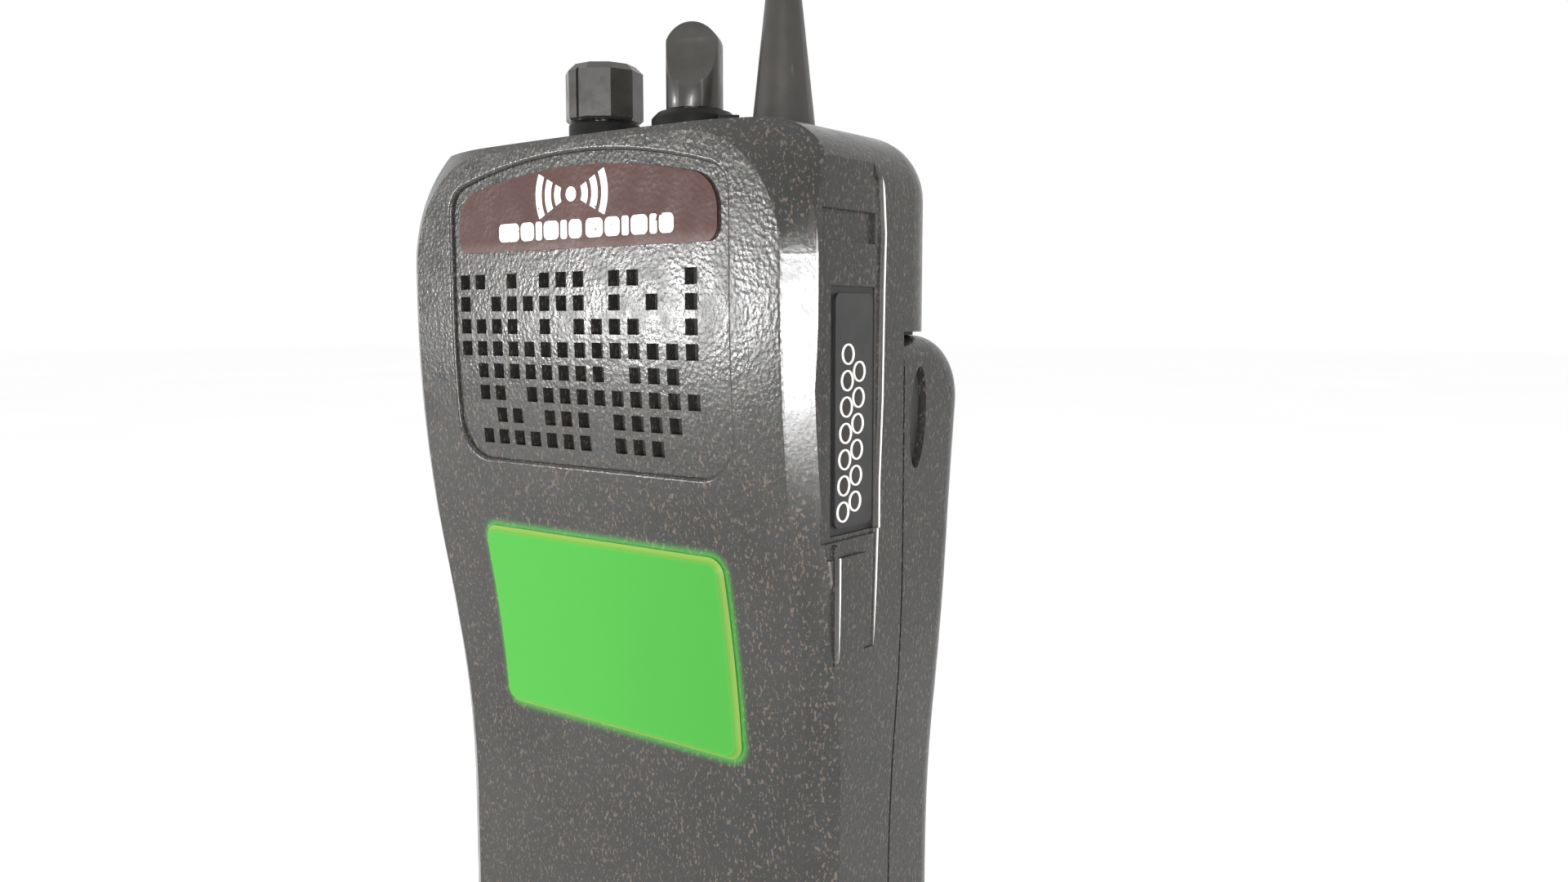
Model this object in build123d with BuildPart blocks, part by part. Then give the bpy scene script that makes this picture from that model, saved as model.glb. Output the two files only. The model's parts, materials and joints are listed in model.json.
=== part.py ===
from build123d import *

import os
from math import atan2, degrees

# Toy walkie talkie, standing upright, in millimetres.
# +Z is up, +X is to the right as one faces the speaker, and the speaker faces -Y.
# The origin is on the base, beside the seam between the radio and its battery pack.

# Outline of the radio body
BODY_TOP = 150.0
SHOULDER_TOP = 147.15
HALF_WIDTH = 31.4
WAIST_STEP = 1.5
WAIST_TOP = 105.0
WAIST_BOTTOM = 66.0
SPEAKER_FACE = -17.5
LOWER_FACE = -11.3
FACE_BEND_TOP = 132.0
FACE_BEND_BOTTOM = 69.0
SEAM = 0.5
OVERHANG = 128.3
UPPER_BACK = 8.9
SHOULDER_RADIUS = 9.5
FOOT_RADIUS = 4.5
BEVEL_WIDTH = 3.1
BEVEL_DEPTH = 2.1
INNER_BEVEL_SHARE = 0.67
UPPER_BACK_RADIUS = 6.5
WALL = 2.0
REACH = 40.0
ABOVE = 160.0

# Crown: the top of the body, squarer behind than in front
CROWN_FLOOR = 132.0
CROWN_SHOULDER = 149.5
CROWN_TOP = 149.8
CROWN_RADIUS = 7.0
CHEEK_SHOULDER = 151.4
CHEEK_TOP = 152.1
CHEEK_RADIUS = 16.0
CHEEK_TAPER = 45.0
CHEEK_DEPTH = 12.0

# Rear chassis and what is fixed to it
CHASSIS_FRONT = -1.5
CHASSIS_TOP = 126.0
OVERHANG_FLOOR = OVERHANG + WALL
BOARD_FRONT = -5.0
BOARD_BACK = -3.8
BOSS_X = 24.0
BOSS_Z = (8.0, 121.0)
BOARD_SCREW_X = 20.0
BOARD_SCREW_Z = (25.0, 104.0)
RAIL_BOTTOM = 14.0
RAIL_TOP = 114.0
RAIL_STEM = (21.8, 23.0)
RAIL_LIP = (20.9, 23.9)
RAIL_STEM_BACK = 2.0
RAIL_LIP_BACK = 3.0
MICROPHONE = (-14.0, 50.0)

# Front face
PANEL_DEPTH = 0.55
PANEL_EDGE_RADIUS = 0.45
PANEL_HALF_WIDTH = 21.6
PANEL_BOTTOM = 113.0
PANEL_SHOULDER = 144.6
PANEL_CROWN = 147.9
PLATE_THICKNESS = 0.35
PLATE_BOTTOM = 137.5
LENS_WIDTH = 38.0
LENS_HEIGHT = 23.0
LENS_Z = 93.0
LENS_RADIUS = 1.8
LENS_PROUD = 0.8
LENS_SEAT = 1.2
HOLE_SIZE = 1.74
HOLE_LEFT = -19.79
HOLE_TOP = 134.1
HOLE_PITCH_X = 2.783
HOLE_PITCH_Z = 2.63
GRILLE_ROWS = (
    "##.#.###.##..#",
    "#.######.#.#.#",
    "####.#.####..#",
    "##############",
    ".########.###.",
    ".##.##########",
    "..##.###.####.",
    ".#######.###..",
)
SPEAKER = (-1.7, 124.9)
SPEAKER_RADIUS = 16.0
SPEAKER_FRONT = -13.3

# Right side: a shallow recess, a deeper panel in its upper part and a short groove below
RECESS_FLOOR = 31.0
SIDE_RECESS = (
    (-15.4, 147.0),
    (-5.3, 147.0),
    (-3.6, 144.0),
    (-3.1, 138.5),
    (-3.3, 132.8),
    (-3.5, 121.4),
    (-4.1, 111.7),
    (-4.8, 95.0),
    (-6.6, 95.0),
    (-6.6, 105.4),
    (-15.4, 105.4),
)
SIDE_PANEL_FLOOR = 30.7
SIDE_PANEL = (
    (-14.2, 147.0),
    (-5.3, 147.0),
    (-3.6, 144.0),
    (-3.1, 138.5),
    (-3.3, 132.8),
    (-3.5, 121.4),
    (-4.3, 107.1),
    (-14.2, 107.1),
)
SIDE_GROOVE_FLOOR = 30.6
SIDE_GROOVE_CENTRE = (-12.0, 100.4)
SIDE_GROOVE_SIZE = (1.5, 13.0)
SLOT_FLOOR = 30.1
SLOT_Y = (-14.0, -3.9)
SLOT_Z = (137.4, 140.6)
CONNECTOR_Y = (-12.3, -4.0)
CONNECTOR_Z = (107.6, 133.0)
CONNECTOR_FRAME = 30.45
CONNECTOR_FACE = 30.8
CONNECTOR_BORDER = 0.75
CONTACT_FIRST = ((-9.4, 126.1), (-7.35, 124.3))
CONTACT_PITCH = 2.68
CONTACT_LEAN = 0.137
CONTACT_OUTER = 1.08
CONTACT_INNER = 0.9
CONTACT_PROUD = 0.15

# Controls on the top
CONTROL_Y = -1.5
VOLUME_X = -11.3
CHANNEL_X = 3.6
ANTENNA_X = 16.7
CONTROL_TOP = 147.0
BUSH_RADIUS = 3.0
VOLUME_SHAFT_RADIUS = 1.5
CHANNEL_SHAFT_RADIUS = 1.6
SHAFT_PLAY = 0.06
COLLAR_TOP = 153.7
KNOB_BOTTOM = 154.0
KNOB_TOP = 160.9
RING_BOTTOM = 150.3
RING_TOP = 153.8
PADDLE_BOTTOM = 154.1
PADDLE_TOP = 164.0
PADDLE_RADIUS = 3.35
PADDLE_GRIP = 3.4
PADDLE_TURN = 28.0
SCOOP_OUT = 10.4
SCOOP_RADIUS = 9.0
SCOOP_Z = 162.0
SEATS = ((VOLUME_X, 4.9), (CHANNEL_X, 5.6), (ANTENNA_X, 4.1))
ANTENNA_TOP = 235.0
WIRE_TOP = 231.0
STUD_RADIUS = 2.5
STUD_TOP = 154.0
NUT_TOP = 146.4

# Talk button on the left side
TALK_Y = -6.3
TALK_Z = 117.0
TALK_SIZE = (7.0, 28.0)
TALK_SWITCH_Z = 113.0
TALK_GAP = 0.3
TALK_PROUD = 1.0
TALK_RIB = 0.5

# Battery pack
PACK_FRONT = 0.8
PACK_TOP = 127.9
PACK_LOWER_BACK = 11.4
PACK_UPPER_BACK = 14.4
PACK_TOP_RADIUS = 7.2
FLARE_BOTTOM = 72.0
FLARE_TOP = 119.0
PACK_SIDE_RADIUS = 3.5
CELL_HALF_ROOM = 19.5
CELL_ROOM_BACK = 9.8
CELL_ROOM_Z = (2.0, 125.0)
COVER_BACK = 2.4
PACK_SCREWS = [(x, z) for x in (-16.8, 16.8) for z in (4.8, 122.2)]
TERMINAL_X = (-9.0, -3.0, 3.0, 9.0)
TERMINAL_Y = (4.0, 5.2)
RELEASE_Y = 3.6
RELEASE_Z = 118.9
RELEASE_HALF = (1.65, 5.6)
RELEASE_GAP = 0.3
RELEASE_TURN = -5.0
RELEASE_FACE = 30.6
RELEASE_WALL = 28.5

# Belt clip
CLIP_PIVOT = (17.6, 107.5)
CLIP_PIN_RADIUS = 1.0
CLIP_PLAY = 0.06
CLIP_HALF_WIDTH = 8.0
KNUCKLE_HALF_WIDTH = 6.7
EAR_INNER = 7.0
EAR_OUTER = 9.5
CLIP_BASE_BACK = 15.4

PLAIN_BACK = ((SEAM, 0), (SEAM, ABOVE))
RADIO_BACK = ((SEAM, 0), (SEAM, OVERHANG), (UPPER_BACK, OVERHANG), (UPPER_BACK, ABOVE))
HOLLOW_BACK = (
    (SEAM + WALL, WALL),
    (SEAM + WALL, CHASSIS_TOP),
    (CHASSIS_FRONT, CHASSIS_TOP),
    (CHASSIS_FRONT, OVERHANG_FLOOR),
    (UPPER_BACK - WALL, OVERHANG_FLOOR),
    (UPPER_BACK - WALL, ABOVE),
)
BOSSES = [(x, z) for x in (-BOSS_X, BOSS_X) for z in BOSS_Z]
BOARD_SCREWS = [(x, z) for x in (-BOARD_SCREW_X, BOARD_SCREW_X) for z in BOARD_SCREW_Z]


def save(piece, name):
    """Labels a finished piece and writes its STEP file."""
    piece.part.label = name
    export_step(piece.part, f"parts/{name}.step")


# Shapes that are drawn inside a sub-part's own block


def slab(x, y, z, mode=Mode.ADD):
    """A rectangular block between two values on each axis."""
    with BuildSketch(Plane.XY.offset(z[0])) as outline:
        with Locations(((x[0] + x[1]) / 2, (y[0] + y[1]) / 2)):
            Rectangle(x[1] - x[0], y[1] - y[0])
    extrude(outline.sketch, amount=z[1] - z[0], mode=mode)


def disc(at, radius, z, mode=Mode.ADD):
    """An upright cylinder between two heights."""
    with BuildSketch(Plane.XY.offset(z[0])) as outline:
        with Locations(at):
            Circle(radius)
    extrude(outline.sketch, amount=z[1] - z[0], mode=mode)


def pegs(places, radius, y, mode=Mode.ADD):
    """Cylinders along Y at (X, Z) places, between two depths."""
    with BuildSketch(Plane.XZ.offset(-y[1])) as outline:
        with Locations(*places):
            Circle(radius)
    extrude(outline.sketch, amount=y[1] - y[0], mode=mode)


def side_pegs(places, radius, x, mode=Mode.ADD):
    """Cylinders along X at (Y, Z) places, between two values of X."""
    with BuildSketch(Plane.YZ.offset(x[0])) as outline:
        with Locations(*places):
            Circle(radius)
    extrude(outline.sketch, amount=x[1] - x[0], mode=mode)


def side_pad(centre, size, radius, x, mode=Mode.ADD):
    """A rounded rectangle on the YZ plane, made thick along X."""
    with BuildSketch(Plane.YZ.offset(x[0])) as outline:
        with Locations(centre):
            RectangleRounded(size[0], size[1], radius)
    extrude(outline.sketch, amount=x[1] - x[0], mode=mode)


def side_oval(centre, half, turn, x, mode=Mode.ADD):
    """An ellipse on the YZ plane, made thick along X."""
    with BuildSketch(Plane.YZ.offset(x[0])) as outline:
        with Locations(centre):
            Ellipse(half[0], half[1], rotation=turn)
    extrude(outline.sketch, amount=x[1] - x[0], mode=mode)


def s_bend(top, bottom):
    """Two equal arcs that lead from one vertical line down to a parallel one."""
    middle = ((top[0] + bottom[0]) / 2, (top[1] + bottom[1]) / 2)
    upper = TangentArc(top, middle, tangent=(0, -1))
    TangentArc(middle, bottom, tangent=upper % 1)


def front_outline(inset):
    """The radio's outline from the front, shrunk by inset: straight shoulders and a slight waist."""
    upper = HALF_WIDTH - inset
    lower = upper - WAIST_STEP
    shoulder = SHOULDER_TOP - inset
    with BuildSketch(Plane.XZ) as outline:
        with BuildLine():
            for side in (-1, 1):
                Line((side * upper, shoulder), (side * upper, WAIST_TOP))
                s_bend((side * upper, WAIST_TOP), (side * lower, WAIST_BOTTOM))
                Line((side * lower, WAIST_BOTTOM), (side * lower, inset))
            Line((-lower, inset), (lower, inset))
            ThreePointArc((-upper, shoulder), (0, BODY_TOP - inset), (upper, shoulder))
        make_face()
        fillet(outline.vertices().group_by(Axis.Y)[-1], SHOULDER_RADIUS - inset)
        fillet(outline.vertices().group_by(Axis.Y)[0], FOOT_RADIUS - inset)
    return outline.sketch


def arched_outline(half_width, bottom, shoulder, crown, low_radius, high_radius):
    """A panel on the XZ plane with upright sides and an arched top."""
    with BuildSketch(Plane.XZ) as outline:
        with BuildLine():
            Polyline(
                (-half_width, shoulder),
                (-half_width, bottom),
                (half_width, bottom),
                (half_width, shoulder),
            )
            ThreePointArc((-half_width, shoulder), (0, crown), (half_width, shoulder))
        make_face()
        fillet(outline.vertices().group_by(Axis.Y)[0], low_radius)
        fillet(outline.vertices().group_by(Axis.Y)[-1], high_radius)
    return outline.sketch


def rim(faces):
    """The edges that belong to only one of the faces."""
    edges = [edge for face in faces for edge in face.edges()]
    return ShapeList(e for e in edges if sum(e.is_same(other) for other in edges) == 1)


# Solids that several sub-parts are cut from


def body_block(inset, back):
    """The radio's bulk shrunk by inset, closed behind by the points of back from bottom to top."""
    top_y = SPEAKER_FACE + inset
    low_y = LOWER_FACE + inset
    with BuildPart() as block:
        with BuildSketch(Plane.YZ):
            with BuildLine():
                Line((top_y, ABOVE), (top_y, FACE_BEND_TOP))
                s_bend((top_y, FACE_BEND_TOP), (low_y, FACE_BEND_BOTTOM))
                Line((low_y, FACE_BEND_BOTTOM), (low_y, back[0][1]))
                Polyline((low_y, back[0][1]), *back, (top_y, ABOVE))
            make_face()
        extrude(amount=REACH, both=True)
        extrude(front_outline(inset), amount=REACH, both=True, mode=Mode.INTERSECT)
    return block.part


def soften(block, share, back_radius):
    """Bevels a block's front rim by a share of the full bevel and rounds the rim of its upper back."""
    with BuildPart() as soft:
        add(block)
        front = soft.faces().filter_by(lambda face: face.normal_at().Y < -0.9)
        flat = front.sort_by(SortBy.AREA)[-1]
        edges = ShapeList(e for e in rim(front) if any(e.is_same(other) for other in flat.edges()))
        chamfer(edges.sort_by(Axis.X)[-1], share * BEVEL_WIDTH, share * BEVEL_DEPTH, reference=flat)
        back = soft.faces().filter_by(lambda face: face.normal_at().Y > 0.9)
        upper = back.filter_by(lambda face: face.center().Z > OVERHANG_FLOOR)
        fillet(rim(upper).filter_by(lambda edge: edge.center().Z > OVERHANG_FLOOR + 1), back_radius)
    return soft.part


def face_layer(outline, outer, inner):
    """What lies between two depths below the front face, within an outline on the XZ plane."""
    front = body_block(outer, PLAIN_BACK)
    behind = body_block(inner, PLAIN_BACK)
    with BuildPart() as layer:
        extrude(outline, amount=REACH, both=True)
        add(front, mode=Mode.INTERSECT)
        add(behind, mode=Mode.SUBTRACT)
    return layer.part


def lens_outline(margin):
    """The display's rounded rectangle, grown by margin on each side."""
    with BuildSketch(Plane.XZ) as outline:
        with Locations((0, LENS_Z)):
            RectangleRounded(LENS_WIDTH + 2 * margin, LENS_HEIGHT + 2 * margin, LENS_RADIUS)
    return outline.sketch


def pack_block():
    """The battery pack's outside: a flat front, a back that flares upwards and a round top."""
    flare_end = (PACK_UPPER_BACK, FLARE_TOP)
    with BuildPart() as pack:
        with BuildSketch(Plane.YZ) as side:
            with BuildLine():
                Polyline((PACK_FRONT, PACK_TOP), (PACK_FRONT, 0), (PACK_LOWER_BACK, 0))
                Line((PACK_LOWER_BACK, 0), (PACK_LOWER_BACK, FLARE_BOTTOM))
                flare = TangentArc((PACK_LOWER_BACK, FLARE_BOTTOM), flare_end, tangent=(0, 1))
                lean = flare % 1
                rise = (PACK_TOP - FLARE_TOP) / lean.Y
                corner = (PACK_UPPER_BACK + rise * lean.X, PACK_TOP)
                Polyline(flare_end, corner, (PACK_FRONT, PACK_TOP))
            make_face()
            top_corner = side.vertices().group_by(Axis.Y)[-1].sort_by(Axis.X)[-1]
            fillet(top_corner, PACK_TOP_RADIUS)
        extrude(amount=REACH, both=True)
        extrude(front_outline(0), amount=REACH, both=True, mode=Mode.INTERSECT)
        back = pack.faces().filter_by(lambda face: face.normal_at().Y > 0.5)
        fillet(rim(back).filter_by(lambda edge: abs(edge.center().X) > 29), PACK_SIDE_RADIUS)
    return pack.part


def hole_places():
    """Centres of the grille's holes, row by row."""
    places = []
    for row, pattern in enumerate(GRILLE_ROWS):
        for column, mark in enumerate(pattern):
            if mark == "#":
                x = HOLE_LEFT + column * HOLE_PITCH_X
                places.append((x, HOLE_TOP - row * HOLE_PITCH_Z))
    return places


def contact_places():
    """Centres of the side contacts: two columns that lean forward as they go down."""
    places = []
    for (y, z), count in zip(CONTACT_FIRST, (7, 6)):
        places += [(y - CONTACT_LEAN * k, z - CONTACT_PITCH * k) for k in range(count)]
    return places


def side_cut(points, floor):
    """Cuts the right side down to a flat floor, within an outline on the YZ plane."""
    with BuildSketch(Plane.YZ.offset(floor)) as outline:
        with BuildLine():
            Polyline(*points, close=True)
        make_face()
    extrude(outline.sketch, amount=WALL, mode=Mode.SUBTRACT)


def crown_outline(shoulder, crown, radius):
    """A wide arched outline from the front, for the body's top."""
    return arched_outline(HALF_WIDTH, WAIST_BOTTOM, shoulder, crown, radius, radius)


def make_crown():
    """The body's top: squarer behind, with cheeks that lead round to the front bevel."""
    bevel_back = SPEAKER_FACE + BEVEL_DEPTH
    cheek = crown_outline(CHEEK_SHOULDER, CHEEK_TOP, CHEEK_RADIUS).moved(Location((0, bevel_back, 0)))
    bevel_taper = degrees(atan2(BEVEL_WIDTH, BEVEL_DEPTH))
    with BuildPart() as cheeks:
        extrude(cheek, amount=BEVEL_DEPTH, taper=bevel_taper)
        extrude(cheek, amount=-CHEEK_DEPTH, taper=-CHEEK_TAPER)
        box = cheeks.part.bounding_box()
        slab((-REACH, REACH), (box.max.Y, UPPER_BACK), (WAIST_BOTTOM, ABOVE))
    outline = crown_outline(CROWN_SHOULDER, CROWN_TOP, CROWN_RADIUS).moved(Location((0, UPPER_BACK, 0)))
    with BuildPart() as crown:
        extrude(outline, amount=UPPER_BACK - SPEAKER_FACE)
        slab((-REACH, REACH), (-REACH, REACH), (CROWN_FLOOR, ABOVE), mode=Mode.INTERSECT)
        back = crown.faces().sort_by(Axis.Y)[-1]
        fillet(back.edges().filter_by(lambda edge: edge.center().Z > CROWN_FLOOR + 1), UPPER_BACK_RADIUS)
        add(cheeks.part, mode=Mode.INTERSECT)
    return crown.part


def round_panel_rim(housing):
    """Rounds the outer rim of the speaker panel's recess."""
    walls = housing.faces().filter_by(
        lambda face: abs(face.normal_at().Y) < 0.3
        and face.center().Y < LOWER_FACE - PANEL_DEPTH
        and abs(face.center().X) < PANEL_HALF_WIDTH + 0.5
        and PANEL_BOTTOM - 1 < face.center().Z < PANEL_CROWN + 0.6
    )
    edges = rim(walls)
    outer = ShapeList()
    for wall in walls:
        own = ShapeList(e for e in wall.edges() if any(e.is_same(other) for other in edges))
        outer.append(own.sort_by(Axis.Y)[0])
    fillet(outer, PANEL_EDGE_RADIUS)


# The radio's housing


def make_front_housing():
    """Front, sides, top and base in one moulding, open behind for the chassis."""
    lower = soften(body_block(0, RADIO_BACK), 1, UPPER_BACK_RADIUS)
    hollow = soften(body_block(WALL, HOLLOW_BACK), INNER_BEVEL_SHARE, UPPER_BACK_RADIUS - WALL)
    panel = arched_outline(PANEL_HALF_WIDTH, PANEL_BOTTOM, PANEL_SHOULDER, PANEL_CROWN, 5, 3)
    panel_cut = face_layer(panel, -1, PANEL_DEPTH)
    lens_seat = face_layer(lens_outline(0), -1, LENS_SEAT)
    lens_window = face_layer(lens_outline(-1.5), -1, WALL + 1)
    crown = make_crown()
    with BuildPart() as front_housing:
        add(lower)
        slab((-REACH, REACH), (-REACH, REACH), (0, CROWN_FLOOR), mode=Mode.INTERSECT)
        add(crown)
        add(panel_cut, mode=Mode.SUBTRACT)
        round_panel_rim(front_housing)
        add(lens_seat, mode=Mode.SUBTRACT)
        add(lens_window, mode=Mode.SUBTRACT)
        add(hollow, mode=Mode.SUBTRACT)
        side_cut(SIDE_RECESS, RECESS_FLOOR)
        side_cut(SIDE_PANEL, SIDE_PANEL_FLOOR)
        groove = (SIDE_GROOVE_FLOOR, HALF_WIDTH + 1)
        side_pad(SIDE_GROOVE_CENTRE, SIDE_GROOVE_SIZE, 0.74, groove, mode=Mode.SUBTRACT)
        # Grille and microphone holes
        with BuildSketch(Plane.XZ):
            with Locations(*hole_places()):
                Rectangle(HOLE_SIZE, HOLE_SIZE)
        extrude(amount=REACH, mode=Mode.SUBTRACT)
        pegs([MICROPHONE], 0.6, (-REACH, -8), mode=Mode.SUBTRACT)
        # Accessory slot, connector opening and talk button opening
        slab((SLOT_FLOOR, HALF_WIDTH + 1), SLOT_Y, SLOT_Z, mode=Mode.SUBTRACT)
        slab((28, 33), CONNECTOR_Y, CONNECTOR_Z, mode=Mode.SUBTRACT)
        opening = (TALK_SIZE[0] + 2 * TALK_GAP, TALK_SIZE[1] + 2 * TALK_GAP)
        side_pad((TALK_Y, TALK_Z), opening, 2.2, (-33, -28), mode=Mode.SUBTRACT)
        # Pads and holes for the controls
        for x, radius in SEATS:
            disc((x, CONTROL_Y), radius, (CONTROL_TOP, BODY_TOP))
            disc((x, CONTROL_Y), radius, (BODY_TOP, CROWN_TOP + 1), mode=Mode.SUBTRACT)
        disc((ANTENNA_X, CONTROL_Y), SEATS[2][1], (NUT_TOP, CONTROL_TOP))
        for x in (VOLUME_X, CHANNEL_X):
            disc((x, CONTROL_Y), BUSH_RADIUS, (140, 155), mode=Mode.SUBTRACT)
        disc((ANTENNA_X, CONTROL_Y), STUD_RADIUS, (140, 155), mode=Mode.SUBTRACT)
        # Bosses for the chassis screws
        pegs([(x, BOSS_Z[0]) for x in (-BOSS_X, BOSS_X)], 2.5, (-10.3, CHASSIS_FRONT))
        pegs([(x, BOSS_Z[1]) for x in (-BOSS_X, BOSS_X)], 2.5, (-16, CHASSIS_FRONT))
        pegs(BOSSES, 1.2, (-8.6, CHASSIS_FRONT), mode=Mode.SUBTRACT)
        # Slots for the sprung battery contacts
        for x in TERMINAL_X:
            slab((x - 1, x + 1), TERMINAL_Y, (OVERHANG - 1, OVERHANG_FLOOR), mode=Mode.SUBTRACT)
    save(front_housing, "front_housing")


def make_rear_chassis():
    """The plate that closes the housing, with the rails that the battery pack slides on."""
    with BuildPart() as rear_chassis:
        extrude(front_outline(WALL), amount=REACH, both=True)
        slab((-REACH, REACH), (CHASSIS_FRONT, SEAM), (WALL, CHASSIS_TOP), mode=Mode.INTERSECT)
        for side in (-1, 1):
            stem = sorted(side * x for x in RAIL_STEM)
            lip = sorted(side * x for x in RAIL_LIP)
            slab(stem, (SEAM, RAIL_STEM_BACK), (RAIL_BOTTOM, RAIL_TOP))
            slab(lip, (RAIL_STEM_BACK, RAIL_LIP_BACK), (RAIL_BOTTOM, RAIL_TOP))
        pegs(BOARD_SCREWS, 2.2, (BOARD_BACK, CHASSIS_FRONT))
        pegs(BOARD_SCREWS, 0.8, (BOARD_BACK, CHASSIS_FRONT + 0.6), mode=Mode.SUBTRACT)
        pegs(BOSSES, 1.2, (CHASSIS_FRONT, SEAM), mode=Mode.SUBTRACT)
        pegs(BOSSES, 2.2, (SEAM - 1.2, SEAM), mode=Mode.SUBTRACT)
    save(rear_chassis, "rear_chassis")


def make_front_trim():
    """Name plate, grille cloth, display lens and the lit display behind it."""
    plate = arched_outline(20.2, PLATE_BOTTOM, 143.9, 146.5, 1.6, 4)
    with BuildPart() as name_plate:
        add(face_layer(plate, PANEL_DEPTH - PLATE_THICKNESS, PANEL_DEPTH))
    save(name_plate, "name_plate")

    with BuildSketch(Plane.XZ) as cloth:
        with Locations((-1.0, 124.9)):
            Rectangle(41, 22.2)
    with BuildPart() as grille_mesh:
        add(face_layer(cloth.sketch, WALL, WALL + 0.3))
    save(grille_mesh, "grille_mesh")

    with BuildPart() as display_lens:
        add(face_layer(lens_outline(0), -LENS_PROUD, LENS_SEAT))
        front = display_lens.faces().filter_by(lambda face: face.normal_at().Y < -0.9)
        chamfer(rim(front), 0.6)
    save(display_lens, "display_lens")

    with BuildPart() as display_panel:
        add(face_layer(lens_outline(-2), LENS_SEAT, LENS_SEAT + 1))
    save(display_panel, "display_panel")

    with BuildPart() as light_guide:
        add(face_layer(lens_outline(-1.6), LENS_SEAT + 1, LENS_SEAT + 2.6))
    save(light_guide, "light_guide")

    with BuildPart() as backlight_lamps:
        for x in (-19.4, 19.4):
            slab((x - 0.8, x + 0.8), (-10.2, BOARD_FRONT), (90, 93))
    save(backlight_lamps, "backlight_lamps")


def make_speaker():
    """A small speaker behind the grille, on a foam gasket."""
    x, z = SPEAKER
    with BuildPart() as speaker_basket:
        pegs([SPEAKER], SPEAKER_RADIUS, (SPEAKER_FRONT, SPEAKER_FRONT + 0.8))
        pegs([SPEAKER], 11, (SPEAKER_FRONT + 0.8, SPEAKER_FRONT + 4))
        pegs([SPEAKER], 14, (SPEAKER_FRONT, SPEAKER_FRONT + 0.8), mode=Mode.SUBTRACT)
        pegs([SPEAKER], 10, (SPEAKER_FRONT + 0.8, SPEAKER_FRONT + 3.2), mode=Mode.SUBTRACT)
        with BuildSketch(Plane.XZ.offset(-SPEAKER_FRONT - 0.8)):
            with Locations(SPEAKER):
                Circle(SPEAKER_RADIUS)
                Circle(10, mode=Mode.SUBTRACT)
        extrude(amount=-0.8)
    save(speaker_basket, "speaker_basket")

    with BuildPart() as speaker_magnet:
        pegs([SPEAKER], 9, (SPEAKER_FRONT + 4, SPEAKER_FRONT + 7.4))
    save(speaker_magnet, "speaker_magnet")

    with BuildPart() as speaker_cone:
        with BuildSketch(Plane.XY.offset(z)):
            with BuildLine():
                Polyline(
                    (x, SPEAKER_FRONT + 2.4),
                    (x + 4, SPEAKER_FRONT + 2.4),
                    (x + 9.8, SPEAKER_FRONT + 0.8),
                    (x + 13.8, SPEAKER_FRONT + 0.5),
                    (x + 13.8, SPEAKER_FRONT),
                    (x + 9.8, SPEAKER_FRONT + 0.3),
                    (x + 4, SPEAKER_FRONT + 1.9),
                    (x, SPEAKER_FRONT + 1.6),
                    close=True,
                )
            make_face()
        revolve(axis=Axis((x, 0, z), (0, 1, 0)))
    save(speaker_cone, "speaker_cone")

    inside = body_block(WALL + 0.3, PLAIN_BACK)
    with BuildPart() as speaker_gasket:
        with BuildSketch(Plane.XZ.offset(-SPEAKER_FRONT)):
            with Locations(SPEAKER):
                Circle(SPEAKER_RADIUS)
                Circle(14.2, mode=Mode.SUBTRACT)
        extrude(amount=6)
        add(inside, mode=Mode.INTERSECT)
    save(speaker_gasket, "speaker_gasket")

    with BuildPart() as speaker_wires:
        pegs([(x - 13, z), (x - 13, z - 4)], 0.4, (SPEAKER_FRONT + 1.6, BOARD_FRONT))
    save(speaker_wires, "speaker_wires")


def make_electronics():
    """The circuit board and what is soldered to it."""
    with BuildPart() as circuit_board:
        slab((-26, 26), (BOARD_FRONT, BOARD_BACK), (6, 136.5))
        pegs(BOSSES, 3.2, (BOARD_FRONT - 1, BOARD_BACK + 1), mode=Mode.SUBTRACT)
        pegs(BOARD_SCREWS, 0.8, (BOARD_FRONT - 1, BOARD_BACK + 1), mode=Mode.SUBTRACT)
    save(circuit_board, "circuit_board")

    with BuildPart() as radio_chips:
        slab((-6, 6), (BOARD_FRONT - 1.2, BOARD_FRONT), (56, 68))
        slab((-4, 4), (BOARD_FRONT - 1.2, BOARD_FRONT), (40, 48))
        slab((8, 15), (BOARD_FRONT - 1.2, BOARD_FRONT), (42, 49))
    save(radio_chips, "radio_chips")

    with BuildPart() as crystal_can:
        slab((8, 18), (BOARD_FRONT - 3, BOARD_FRONT), (60, 64))
        fillet(crystal_can.edges().filter_by(Axis.Y), 1.8)
    save(crystal_can, "crystal_can")

    with BuildPart() as capacitors:
        pegs([(-16, 30), (-10, 30), (-4, 30)], 2, (BOARD_FRONT - 3.6, BOARD_FRONT))
    save(capacitors, "capacitors")

    with BuildPart() as tuning_coils:
        for x in (4, 10, 16):
            slab((x - 2, x + 2), (BOARD_FRONT - 3.2, BOARD_FRONT), (28, 32))
        pegs([(4, 30), (10, 30), (16, 30)], 0.9, (BOARD_FRONT - 4, BOARD_FRONT - 2), mode=Mode.SUBTRACT)
    save(tuning_coils, "tuning_coils")

    with BuildPart() as microphone:
        pegs([MICROPHONE], 3, (LOWER_FACE + WALL, BOARD_FRONT - 1.4))
        pegs([MICROPHONE], 0.6, (LOWER_FACE + WALL, LOWER_FACE + WALL + 0.8), mode=Mode.SUBTRACT)
    save(microphone, "microphone")


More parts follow.
